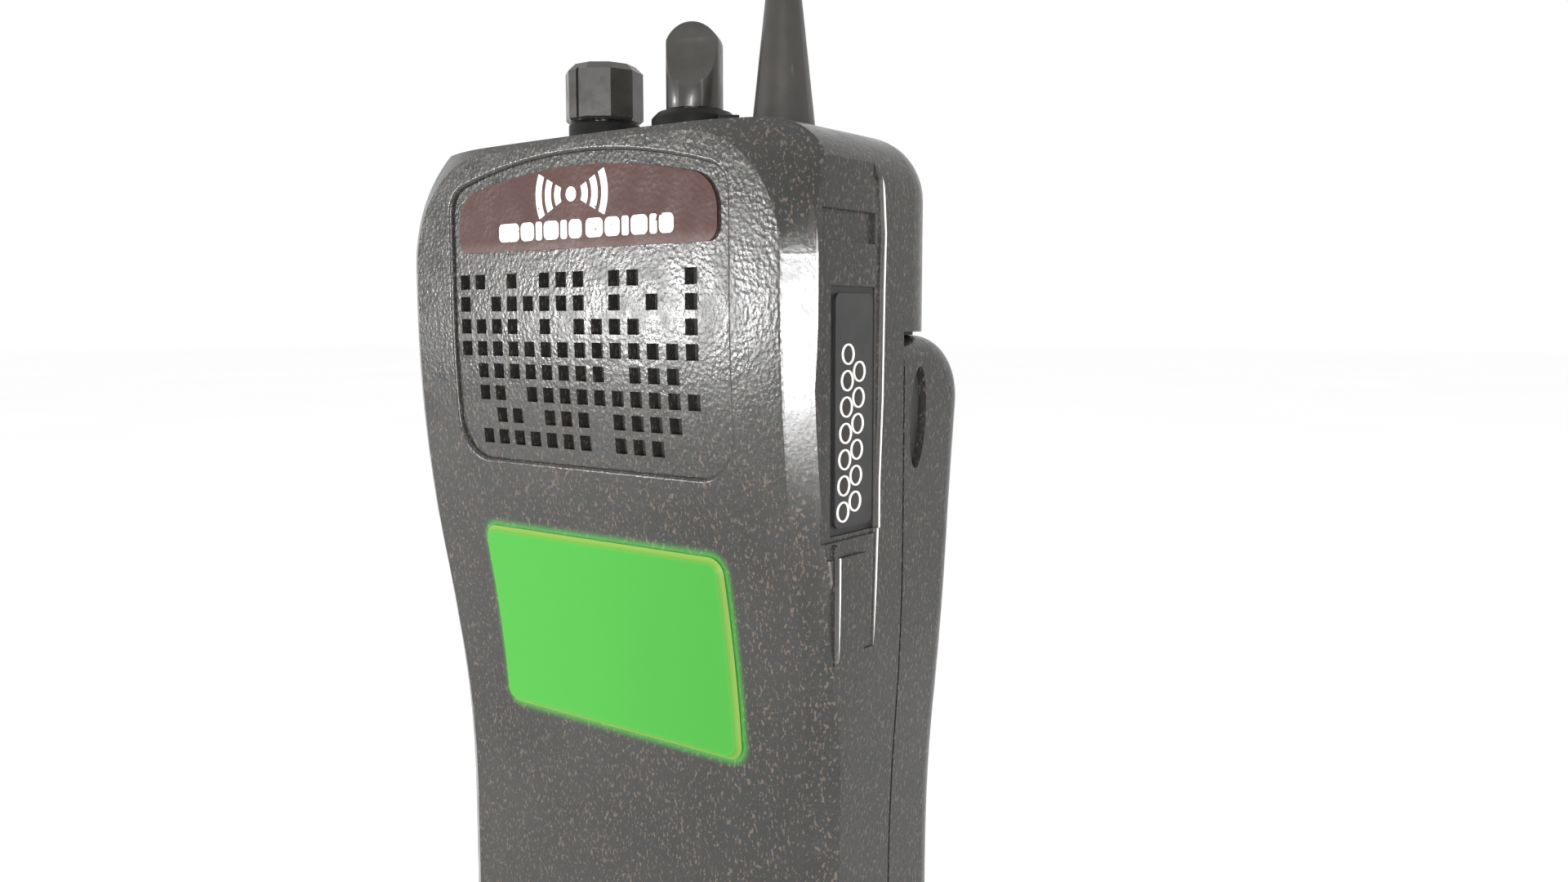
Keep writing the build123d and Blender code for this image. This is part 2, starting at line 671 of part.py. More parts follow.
def make_fasteners():
    """The screws that hold the chassis to the housing and the board to the chassis."""
    with BuildPart() as chassis_screws:
        pegs(BOSSES, 2.2, (SEAM - 1.2, SEAM))
        pegs(BOSSES, 1.2, (-8, SEAM - 1.2))
        pegs(BOSSES, 0.7, (SEAM - 0.6, SEAM), mode=Mode.SUBTRACT)
    save(chassis_screws, "chassis_screws")

    with BuildPart() as board_screws:
        pegs(BOARD_SCREWS, 1.7, (BOARD_FRONT - 1.2, BOARD_FRONT))
        pegs(BOARD_SCREWS, 0.8, (BOARD_FRONT, CHASSIS_FRONT + 0.4))
        pegs(BOARD_SCREWS, 0.6, (BOARD_FRONT - 1.2, BOARD_FRONT - 0.6), mode=Mode.SUBTRACT)
    save(board_screws, "board_screws")


def make_connector():
    """The accessory connector: a framed plate with thirteen ringed contacts."""
    centre = ((CONNECTOR_Y[0] + CONNECTOR_Y[1]) / 2, (CONNECTOR_Z[0] + CONNECTOR_Z[1]) / 2)
    size = (CONNECTOR_Y[1] - CONNECTOR_Y[0], CONNECTOR_Z[1] - CONNECTOR_Z[0])
    with BuildPart() as connector_panel:
        slab((HALF_WIDTH - WALL, CONNECTOR_FRAME), CONNECTOR_Y, CONNECTOR_Z)
        pad = (size[0] - 2 * CONNECTOR_BORDER, size[1] - 2 * CONNECTOR_BORDER)
        side_pad(centre, pad, 0.8, (CONNECTOR_FRAME, CONNECTOR_FACE))
        side_pegs(contact_places(), CONTACT_INNER, (29, 32), mode=Mode.SUBTRACT)
    save(connector_panel, "connector_panel")

    with BuildPart() as contact_rings:
        side_pegs(contact_places(), CONTACT_OUTER, (CONNECTOR_FACE, CONNECTOR_FACE + CONTACT_PROUD))
        side_pegs(contact_places(), CONTACT_INNER, (CONNECTOR_FACE - 1, 32), mode=Mode.SUBTRACT)
    save(contact_rings, "contact_rings")

    with BuildPart() as contact_pads:
        side_pegs(contact_places(), CONTACT_INNER, (28.6, CONNECTOR_FACE))
    save(contact_pads, "contact_pads")


def make_volume_control():
    """Potentiometer, collar, shaft and a faceted knob."""
    at = (VOLUME_X, CONTROL_Y)
    with BuildPart() as volume_potentiometer:
        slab((VOLUME_X - 5.5, VOLUME_X + 5.5), (-7, 3), (138, CONTROL_TOP))
        for x in (-2.7, 0, 2.7):
            slab((VOLUME_X + x - 0.4, VOLUME_X + x + 0.4), (BOARD_FRONT - 0.8, BOARD_FRONT), (133, 138))
        disc(at, BUSH_RADIUS, (CONTROL_TOP, COLLAR_TOP - 0.6))
        disc(at, VOLUME_SHAFT_RADIUS + SHAFT_PLAY, (140, COLLAR_TOP), mode=Mode.SUBTRACT)
    save(volume_potentiometer, "volume_potentiometer")

    with BuildPart() as volume_collar:
        disc(at, 4.45, (BODY_TOP, COLLAR_TOP))
        disc(at, BUSH_RADIUS, (BODY_TOP, COLLAR_TOP), mode=Mode.SUBTRACT)
    save(volume_collar, "volume_collar")

    with BuildPart() as volume_shaft:
        disc(at, VOLUME_SHAFT_RADIUS, (140.5, KNOB_BOTTOM + 5))
    save(volume_shaft, "volume_shaft")

    with BuildPart() as volume_knob:
        with BuildSketch(Plane.XY.offset(KNOB_BOTTOM)):
            with Locations(at):
                RegularPolygon(4.85, 10)
        extrude(amount=KNOB_TOP - KNOB_BOTTOM)
        chamfer(volume_knob.edges().group_by(Axis.Z)[-1], 0.9)
        chamfer(volume_knob.edges().group_by(Axis.Z)[0], 0.3)
        # A pointer groove down the side that faces forward
        slab((VOLUME_X - 0.2, VOLUME_X + 0.2), (-7, -5.8), (KNOB_BOTTOM, KNOB_TOP), mode=Mode.SUBTRACT)
        disc(at, VOLUME_SHAFT_RADIUS, (KNOB_BOTTOM, KNOB_BOTTOM + 5), mode=Mode.SUBTRACT)
    save(volume_knob, "volume_knob")


def make_channel_control():
    """Rotary switch, shaft, a ring with a pointer and the paddle above it."""
    at = (CHANNEL_X, CONTROL_Y)
    with BuildPart() as channel_switch:
        slab((CHANNEL_X - 6, CHANNEL_X + 6), (-7.5, 4.5), (137, CONTROL_TOP))
        disc(at, BUSH_RADIUS, (CONTROL_TOP, RING_TOP - 0.3))
        disc(at, CHANNEL_SHAFT_RADIUS + SHAFT_PLAY, (139.5, RING_TOP), mode=Mode.SUBTRACT)
    save(channel_switch, "channel_switch")

    with BuildPart() as zone_ring:
        disc(at, 5.1, (RING_BOTTOM, RING_TOP))
        chamfer(zone_ring.edges().group_by(Axis.Z)[-1], 0.8)
        with BuildSketch(Plane.XY.offset(RING_TOP - 1.9)):
            with BuildLine():
                left = CHANNEL_X + 3.6
                tip = (CHANNEL_X + 6.8, CONTROL_Y)
                Polyline((left, CONTROL_Y - 2.6), tip, (left, CONTROL_Y + 2.6), close=True)
            make_face()
        extrude(amount=1.1)
        disc(at, BUSH_RADIUS + SHAFT_PLAY, (RING_BOTTOM, RING_TOP), mode=Mode.SUBTRACT)
    save(zone_ring, "zone_ring")

    with BuildPart() as channel_shaft:
        disc(at, CHANNEL_SHAFT_RADIUS, (140, PADDLE_BOTTOM + PADDLE_GRIP))
    save(channel_shaft, "channel_shaft")

    with BuildPart() as paddle:
        disc(at, PADDLE_RADIUS, (PADDLE_BOTTOM, PADDLE_TOP))
        # The round top is a half circle as seen from the front
        shoulder = PADDLE_TOP - PADDLE_RADIUS
        with BuildSketch(Plane.XZ.offset(-REACH)):
            with Locations((CHANNEL_X, (PADDLE_BOTTOM + shoulder) / 2)):
                Rectangle(2 * PADDLE_RADIUS, shoulder - PADDLE_BOTTOM)
            with Locations((CHANNEL_X, shoulder)):
                Circle(PADDLE_RADIUS)
        extrude(amount=2 * REACH, mode=Mode.INTERSECT)
        # Finger scoops in front and behind leave a thin web
        scoops = [(CONTROL_Y - SCOOP_OUT, SCOOP_Z), (CONTROL_Y + SCOOP_OUT, SCOOP_Z)]
        across = (CHANNEL_X - 2 * PADDLE_RADIUS, CHANNEL_X + 2 * PADDLE_RADIUS)
        side_pegs(scoops, SCOOP_RADIUS, across, mode=Mode.SUBTRACT)
        disc(at, CHANNEL_SHAFT_RADIUS, (PADDLE_BOTTOM, PADDLE_BOTTOM + PADDLE_GRIP), mode=Mode.SUBTRACT)
    with BuildPart() as channel_knob:
        # The paddle rests part of the way round to the connector side
        add(paddle.part.rotate(Axis((*at, 0), (0, 0, 1)), PADDLE_TURN))
    save(channel_knob, "channel_knob")


def make_antenna():
    """A rubber sheath over a wire, on a threaded stud held by a nut."""
    at = (ANTENNA_X, CONTROL_Y)
    with BuildPart() as antenna_sheath:
        with BuildSketch(Plane.XZ.offset(-CONTROL_Y)):
            with BuildLine():
                Polyline(
                    (ANTENNA_X, ANTENNA_TOP),
                    (ANTENNA_X, BODY_TOP),
                    (ANTENNA_X + 3.65, BODY_TOP),
                    (ANTENNA_X + 2.05, 164.7),
                    (ANTENNA_X + 1.72, 168),
                    (ANTENNA_X + 1.45, 227),
                    (ANTENNA_X + 2.0, 229.5),
                    (ANTENNA_X + 2.0, ANTENNA_TOP - 2),
                )
                CenterArc((ANTENNA_X, ANTENNA_TOP - 2), 2, 0, 90)
            make_face()
        revolve(axis=Axis((ANTENNA_X, CONTROL_Y, 0), (0, 0, 1)))
        disc(at, STUD_RADIUS, (BODY_TOP, STUD_TOP), mode=Mode.SUBTRACT)
        disc(at, 0.6, (STUD_TOP, WIRE_TOP), mode=Mode.SUBTRACT)
    save(antenna_sheath, "antenna_sheath")

    with BuildPart() as antenna_wire:
        disc(at, 0.6, (STUD_TOP, WIRE_TOP))
    save(antenna_wire, "antenna_wire")

    with BuildPart() as antenna_stud:
        disc(at, STUD_RADIUS, (141, STUD_TOP))
    save(antenna_stud, "antenna_stud")

    with BuildPart() as antenna_nut:
        with BuildSketch(Plane.XY.offset(NUT_TOP - 3)):
            with Locations(at):
                RegularPolygon(4.0, 6)
                Circle(STUD_RADIUS, mode=Mode.SUBTRACT)
        extrude(amount=3)
    save(antenna_nut, "antenna_nut")


def make_talk_control():
    """The talk button on the left side, its rubber dome and its switch."""
    face = -HALF_WIDTH - TALK_PROUD
    flange = -HALF_WIDTH + WALL + TALK_GAP
    with BuildPart() as talk_button:
        side_pad((TALK_Y, TALK_Z), TALK_SIZE, 1.9, (face, flange))
        chamfer(talk_button.edges().group_by(Axis.X)[0], 0.5)
        flange_size = (TALK_SIZE[0] + 1, TALK_SIZE[1] + 2)
        side_pad((TALK_Y, TALK_Z), flange_size, 2.4, (flange, flange + 1))
        for z in (TALK_Z - 6, TALK_Z - 2, TALK_Z + 2, TALK_Z + 6):
            rib = (z - TALK_RIB, z + TALK_RIB)
            slab((face - 1, face + 0.3), (TALK_Y - 2.8, TALK_Y + 2.8), rib, mode=Mode.SUBTRACT)
        nib_z = (TALK_SWITCH_Z - 1, TALK_SWITCH_Z + 1)
        slab((flange + 1, flange + 2.2), (TALK_Y - 1, TALK_Y + 1), nib_z)
    save(talk_button, "talk_button")

    with BuildPart() as talk_switch:
        slab((-25.4, -21), (-9, BOARD_FRONT), (TALK_SWITCH_Z - 4, TALK_SWITCH_Z + 4))
    save(talk_switch, "talk_switch")

    with BuildPart() as talk_dome:
        side_pegs([(TALK_Y, TALK_SWITCH_Z)], 1.3, (-26.6, -25.4))
        chamfer(talk_dome.edges().group_by(Axis.X)[0], 0.4)
    save(talk_dome, "talk_dome")


# The battery pack


def make_battery_contacts():
    """The radio's sprung battery contacts and their wires."""
    with BuildPart() as battery_springs:
        for x in TERMINAL_X:
            slab((x - 1, x + 1), TERMINAL_Y, (OVERHANG - 0.3, OVERHANG_FLOOR + 2))
    save(battery_springs, "battery_springs")

    with BuildPart() as battery_wires:
        pegs([(x, OVERHANG_FLOOR + 1.1) for x in TERMINAL_X], 0.45, (BOARD_BACK, TERMINAL_Y[0]))
    save(battery_wires, "battery_wires")


def make_battery_case():
    """The pack's moulding: room for the cells, grooves for the rails and release pockets."""
    outside = pack_block()
    with BuildPart() as battery_case:
        add(outside)
        room = (-CELL_HALF_ROOM, CELL_HALF_ROOM)
        slab(room, (PACK_FRONT, CELL_ROOM_BACK), CELL_ROOM_Z, mode=Mode.SUBTRACT)
        pegs(PACK_SCREWS, 2.4, (COVER_BACK, CELL_ROOM_BACK))
        pegs(PACK_SCREWS, 0.9, (COVER_BACK, 8), mode=Mode.SUBTRACT)
        for side in (-1, 1):
            slot = sorted(side * x for x in (RAIL_STEM[0] - 0.3, RAIL_STEM[1] + 0.3))
            groove = sorted(side * x for x in (RAIL_LIP[0] - 0.3, RAIL_LIP[1] + 0.3))
            grooved = (RAIL_BOTTOM - 0.5, PACK_TOP)
            slab(slot, (PACK_FRONT, RAIL_STEM_BACK), grooved, mode=Mode.SUBTRACT)
            slab(groove, (RAIL_STEM_BACK - 0.3, RAIL_LIP_BACK + 0.3), grooved, mode=Mode.SUBTRACT)
            pocket = sorted((side * 24.8, side * RELEASE_WALL))
            slab(pocket, (PACK_FRONT, 6.7), (RELEASE_Z - 6.9, RELEASE_Z + 6.9), mode=Mode.SUBTRACT)
            outward = sorted((side * RELEASE_WALL, side * (HALF_WIDTH + 1)))
            side_oval((RELEASE_Y, RELEASE_Z), RELEASE_HALF, RELEASE_TURN, outward, mode=Mode.SUBTRACT)
        for x in TERMINAL_X:
            slab((x - 1.3, x + 1.3), (3.6, 5.6), (CELL_ROOM_Z[1], PACK_TOP), mode=Mode.SUBTRACT)
    save(battery_case, "battery_case")


def make_battery_insides():
    """Cover, cells, straps, protection board, contacts and screws."""
    with BuildPart() as battery_cover:
        slab((-CELL_HALF_ROOM, CELL_HALF_ROOM), (PACK_FRONT, COVER_BACK), CELL_ROOM_Z)
        pegs(PACK_SCREWS, 0.9, (PACK_FRONT, COVER_BACK), mode=Mode.SUBTRACT)
        pegs(PACK_SCREWS, 1.8, (PACK_FRONT, PACK_FRONT + 1), mode=Mode.SUBTRACT)
    save(battery_cover, "battery_cover")

    with BuildPart() as pack_screws:
        pegs(PACK_SCREWS, 1.8, (PACK_FRONT, PACK_FRONT + 1))
        pegs(PACK_SCREWS, 0.9, (PACK_FRONT + 1, 7.6))
        pegs(PACK_SCREWS, 0.6, (PACK_FRONT, PACK_FRONT + 0.5), mode=Mode.SUBTRACT)
    save(pack_screws, "pack_screws")

    with BuildPart() as battery_cells:
        slab((-17, 17), (2.6, 9.6), (8.5, 58.5))
        slab((-17, 17), (2.6, 9.6), (59.1, 109.1))
        fillet(battery_cells.edges().filter_by(Axis.Z), 2)
    save(battery_cells, "battery_cells")

    with BuildPart() as cell_straps:
        slab((-4, 4), (4, 8), (58.5, 59.1))
        for x in (-6, 6):
            slab((x - 2, x + 2), (4, 5), (109.1, 110.2))
    save(cell_straps, "cell_straps")

    with BuildPart() as protection_board:
        slab((-13, 13), (4, 5), (110.2, 124.4))
        slab((-4, 4), (5, 6.2), (113, 119))
    save(protection_board, "protection_board")

    with BuildPart() as pack_contacts:
        for x in TERMINAL_X:
            slab((x - 1.3, x + 1.3), (3.6, 5.6), (124.4, PACK_TOP))
    save(pack_contacts, "pack_contacts")


def make_releases():
    """A sunk release button on each side of the pack, each on a bowed leaf spring."""
    for side, hand in ((1, "right"), (-1, "left")):
        stem = sorted((side * (RELEASE_WALL - 0.2), side * RELEASE_FACE))
        flange = sorted((side * (RELEASE_WALL - 1.2), side * (RELEASE_WALL - 0.2)))
        with BuildPart() as release_button:
            side_oval((RELEASE_Y, RELEASE_Z), [h - RELEASE_GAP for h in RELEASE_HALF], RELEASE_TURN, stem)
            side_pad((RELEASE_Y, RELEASE_Z), (3.9, 12.8), 1.4, flange)
        save(release_button, f"release_button_{hand}")

        with BuildPart() as release_spring:
            with BuildSketch(Plane.XZ.offset(-5.5)):
                with BuildLine():
                    low, high = side * 24.8, side * 27.0
                    ThreePointArc((low, 113.5), (high, RELEASE_Z), (low, 123.7))
                    Line((low, 123.7), (low, 123.0))
                    ThreePointArc((low, 123.0), (high - side * 0.4, RELEASE_Z), (low, 114.2))
                    Line((low, 114.2), (low, 113.5))
                make_face()
            extrude(amount=2.5)
        save(release_spring, f"release_spring_{hand}")


def make_belt_clip():
    """Base, pin, lever and spring of the belt clip on the pack's back."""
    outside = pack_block()
    pivot_y, pivot_z = CLIP_PIVOT
    with BuildPart() as clip_base:
        slab((-EAR_OUTER, EAR_OUTER), (8, CLIP_BASE_BACK), (92, 116))
        add(outside, mode=Mode.SUBTRACT)
        for side in (-1, 1):
            ear = sorted((side * EAR_INNER, side * EAR_OUTER))
            slab(ear, (CLIP_BASE_BACK, 19.2), (104, 111))
        side_pegs([CLIP_PIVOT], CLIP_PIN_RADIUS, (-EAR_OUTER, EAR_OUTER), mode=Mode.SUBTRACT)
    save(clip_base, "clip_base")

    with BuildPart() as clip_pin:
        side_pegs([CLIP_PIVOT], CLIP_PIN_RADIUS, (-EAR_OUTER, EAR_OUTER))
    save(clip_pin, "clip_pin")

    with BuildPart() as clip_lever:
        with BuildSketch(Plane.YZ.offset(-CLIP_HALF_WIDTH)):
            with BuildLine():
                Polyline(
                    (22.5, 121.2),
                    (19.4, 108.8),
                    (19.4, 49.5),
                    (15.2, 44.6),
                    (12.4, 46.4),
                    (13.4, 48.0),
                    (14.9, 47.2),
                    (17.2, 50.2),
                    (17.2, 109.2),
                    (20.3, 121.7),
                    close=True,
                )
            make_face()
        extrude(amount=2 * CLIP_HALF_WIDTH)
        for side in (-1, 1):
            notch = sorted((side * KNUCKLE_HALF_WIDTH, side * (CLIP_HALF_WIDTH + 1)))
            slab(notch, (10, 25), (103, 112.2), mode=Mode.SUBTRACT)
        side_pegs([CLIP_PIVOT], 2, (-KNUCKLE_HALF_WIDTH, KNUCKLE_HALF_WIDTH))
        bore = CLIP_PIN_RADIUS + CLIP_PLAY
        side_pegs([CLIP_PIVOT], bore, (-EAR_OUTER, EAR_OUTER), mode=Mode.SUBTRACT)
    save(clip_lever, "clip_lever")

    with BuildPart() as clip_spring:
        with BuildSketch(Plane.YZ.offset(-4)):
            with BuildLine():
                Polyline((15.45, 115.8), (15.45, 112.4), (15.85, 112.4), (15.85, 115.8), close=True)
            make_face()
            with BuildLine():
                Polyline((15.45, 112.8), (17.4, 112.3), (17.4, 112.7), (15.85, 113.2), close=True)
            make_face()
            with BuildLine():
                Polyline((17.0, 112.4), (17.4, 112.3), (18.4, 115.6), (18.0, 115.7), close=True)
            make_face()
        extrude(amount=8)
    save(clip_spring, "clip_spring")


os.makedirs("parts", exist_ok=True)
make_front_housing()
make_rear_chassis()
make_front_trim()
make_speaker()
make_electronics()
make_fasteners()
make_connector()
make_volume_control()
make_channel_control()
make_antenna()
make_talk_control()
make_battery_contacts()
make_battery_case()
make_battery_insides()
make_releases()
make_belt_clip()
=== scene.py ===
import json
from math import cos, pi, radians, sin

import bpy
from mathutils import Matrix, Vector


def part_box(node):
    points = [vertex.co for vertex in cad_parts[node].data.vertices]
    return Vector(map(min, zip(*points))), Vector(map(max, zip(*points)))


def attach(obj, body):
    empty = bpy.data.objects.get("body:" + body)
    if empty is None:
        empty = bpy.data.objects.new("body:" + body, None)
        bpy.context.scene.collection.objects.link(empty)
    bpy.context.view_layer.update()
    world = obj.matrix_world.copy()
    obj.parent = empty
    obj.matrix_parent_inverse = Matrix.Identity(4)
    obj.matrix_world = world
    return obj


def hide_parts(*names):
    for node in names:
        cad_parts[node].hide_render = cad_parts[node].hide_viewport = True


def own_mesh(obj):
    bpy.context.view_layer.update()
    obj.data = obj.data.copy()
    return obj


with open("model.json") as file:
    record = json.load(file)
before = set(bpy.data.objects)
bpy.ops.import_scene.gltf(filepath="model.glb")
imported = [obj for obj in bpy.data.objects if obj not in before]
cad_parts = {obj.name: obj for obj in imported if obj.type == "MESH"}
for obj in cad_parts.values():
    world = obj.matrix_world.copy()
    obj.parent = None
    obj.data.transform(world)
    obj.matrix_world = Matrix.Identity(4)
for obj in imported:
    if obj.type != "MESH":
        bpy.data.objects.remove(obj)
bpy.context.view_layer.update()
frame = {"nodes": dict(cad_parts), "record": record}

MM = 0.001

# Colours are linear RGB, and a pair is the dark and the light end of a mottled surface
CHARCOAL = ((0.021, 0.0205, 0.020), (0.028, 0.0275, 0.026))
DARK_PLASTIC = ((0.022, 0.021, 0.020), (0.034, 0.033, 0.031))
KNOB_PLASTIC = ((0.022, 0.020, 0.017), (0.030, 0.027, 0.024))
# Painted shadow: near black for the zone ring and the volume collar, which sit in shade under the
# knobs
PAINTED_SHADOW_BLACK = ((0.005, 0.0048, 0.0045), (0.008, 0.0077, 0.0072))
CLOTH = ((0.030, 0.030, 0.029), (0.055, 0.054, 0.053))
CONNECTOR_FRAME = ((0.009, 0.009, 0.009), (0.013, 0.013, 0.013))
CONNECTOR_PAD = ((0.017, 0.017, 0.017), (0.023, 0.023, 0.022))
CONTACT_WHITE = ((0.78, 0.77, 0.75), (0.88, 0.87, 0.85))
CONTACT_DARK = ((0.016, 0.012, 0.009), (0.024, 0.019, 0.015))
CIRCUIT_GREEN = ((0.01, 0.09, 0.035), (0.02, 0.14, 0.05))
COMPONENT_BLACK = ((0.018, 0.018, 0.018), (0.035, 0.035, 0.034))
TAN_FLECK = (0.155, 0.115, 0.088)
SCUFF = (0.3, 0.29, 0.27)
# Painted light that lifts the shade on the right side's low walls, and the painted highlight along
# their outer edge
WALL_PAINTED_LIGHT = (0.11, 0.105, 0.10)
EDGE_HIGHLIGHT_WHITE = (0.95, 0.95, 0.94)
# Painted highlight along the connector frame's front edge
EDGE_GLINT = (0.5, 0.5, 0.49)
MAROON = (0.058, 0.023, 0.019)
# Painted highlight for the plate's lower edge
MAROON_HIGHLIGHT = (0.3, 0.24, 0.23)
PRINT_WHITE = (0.86, 0.86, 0.84)
STEEL = (0.58, 0.58, 0.59)
BRASS = (0.76, 0.6, 0.3)
SCREEN_GREEN = (0.065, 0.50, 0.038)
SCREEN_SHADE = (0.048, 0.40, 0.030)
SCREEN_EDGE = (0.36, 0.52, 0.08)
# Painted shade for the lens's side walls
SCREEN_SIDE_SHADE = (0.030, 0.14, 0.030)
SCREEN_UNLIT = (0.01, 0.045, 0.008)

# Nearly all of a noise texture's values lie in this range
NOISE_RANGE = (0.3, 0.7)

# Two layers of flecks: noise scale, turn, and the noise at a fleck's edge and inside it
FLECKS = (
    (3000, (0.5, 0.2, 0.3), (0.61, 0.68)),
    (3700, (-0.6, 0.5, 0), (0.62, 0.70)),
)
FLECK_STRETCH = (1, 1, 0.5)
FLECK_COVER = 0.55

# Where the front housing has its rubbed bevel and its painted light, the highlights on its side
# walls and the display's glow: where each effect starts and where it is full
FACING_FORWARDS = (-0.8, -0.9)
WALL_ACROSS = (30.45 * MM, 30.55 * MM)
WALL_EDGE = (31.16 * MM, 31.24 * MM)
BEVEL_ACROSS = (27.9 * MM, 28.6 * MM)
BEVEL_FORWARDS = (-13.0 * MM, -13.8 * MM)
FACE_FORWARDS = (-8 * MM, -9 * MM)
HALO_REACH = 1.5 * MM

SCREEN_CORNER = 1.8 * MM
SCREEN_RIM = 0.95 * MM
PLATE_HIGHLIGHT_BAND = 1.5 * MM
THREAD_PITCH = 0.45 * MM
PAD_EDGE = (0.12 * MM, 0.04 * MM)
GLINT_EDGE = (0.34 * MM, 0.26 * MM)

# The plate's sign, as shares of the plate's height, with angles in degrees
WAVES = 3
MAST_RADIUS = 0.09
WAVE_RADIUS, WAVE_STEP, WAVE_THICKNESS = 0.19, 0.17, 0.105
WAVE_ANGLE = 52
MAST_ANGLE = 354

# The centre of the sign and the start of the blocks, as shares of the plate's width and height
SIGN_CENTRE = (0.48, 0.66)
BLOCKS_START = (0.18, 0.12)

# The blocks under the sign, as shares of the plate's width, where 0 leaves a wider gap
BLOCKS = (0.085, 0.055, 0.025, 0.06, 0.025, 0.05, 0.0, 0.065, 0.055, 0.025, 0.06, 0.025, 0.05)
BLOCK_GAP = 0.008
BLOCK_HEIGHT = 0.23
BLOCK_ROUNDING = 0.3
PRINT_THICKNESS = 0.05 * MM

SEAL_PLAY = 0.04 * MM
SEAL_THICKNESS = 0.34 * MM
SEAL_SIDE_INSET = 0.7 * MM
SEAL_FRONT_INSET, SEAL_BACK_INSET = 0.1 * MM, 0.35 * MM
SEAL_FRONT_CORNER, SEAL_BACK_CORNER = 0.5 * MM, 7 * MM

SHARP_ANGLE = radians(38)
WELD_DISTANCE = 0.002 * MM

# Width of the softened edges by node, in millimetres
SOFT_EDGES = {
    "volume_knob": 0.12,
    "channel_knob": 0.35,
    "zone_ring": 0.12,
    "volume_collar": 0.12,
    "talk_button": 0.2,
    "clip_lever": 0.3,
    "clip_base": 0.25,
    "release_button_right": 0.15,
    "release_button_left": 0.15,
}

# Node, body, joint, axis, fixed end along the axis, and the share of the thickness that is left
SPRUNG_PARTS = (
    ("talk_dome", "housing", "talk_press", (1, 0, 0), -25.4 * MM, 0.15),
    ("release_spring_right", "battery_pack", "release_right_press", (1, 0, 0), 24.8 * MM, 0.44),
    ("release_spring_left", "battery_pack", "release_left_press", (1, 0, 0), -24.8 * MM, 0.44),
    ("clip_spring", "battery_pack", "clip_swing", (0, 1, 0), 15.45 * MM, 0.4),
)

FLOOR_REACH = 6.0
FLOOR_WHITE = ((0.98, 0.98, 0.98), (0.99, 0.99, 0.99))

# Name, direction from the upper body, distance, width and height, and watts
LIGHTS = (
    ("left_softbox", (-0.648, -0.760, 0.014), 0.7, (0.048, 0.044), 1.9),
    ("right_strip", (0.53, -0.85, -0.11), 0.6, (0.075, 0.26), 4.2),
    ("overhead", (0.1, -0.2, 1.0), 1.0, (0.9, 0.9), 0.8),
)
UPPER_BODY = Vector((0, 0, 0.115))

CAMERA_PLACE = (0.1003, -0.11237, 0.1293)
CAMERA_AZIMUTH, CAMERA_DROP = radians(37), radians(5.55)
LENS, SENSOR_WIDTH = 28.0, 36.0
CLIP_NEAR, CLIP_FAR = 0.005, 50


# Node helpers


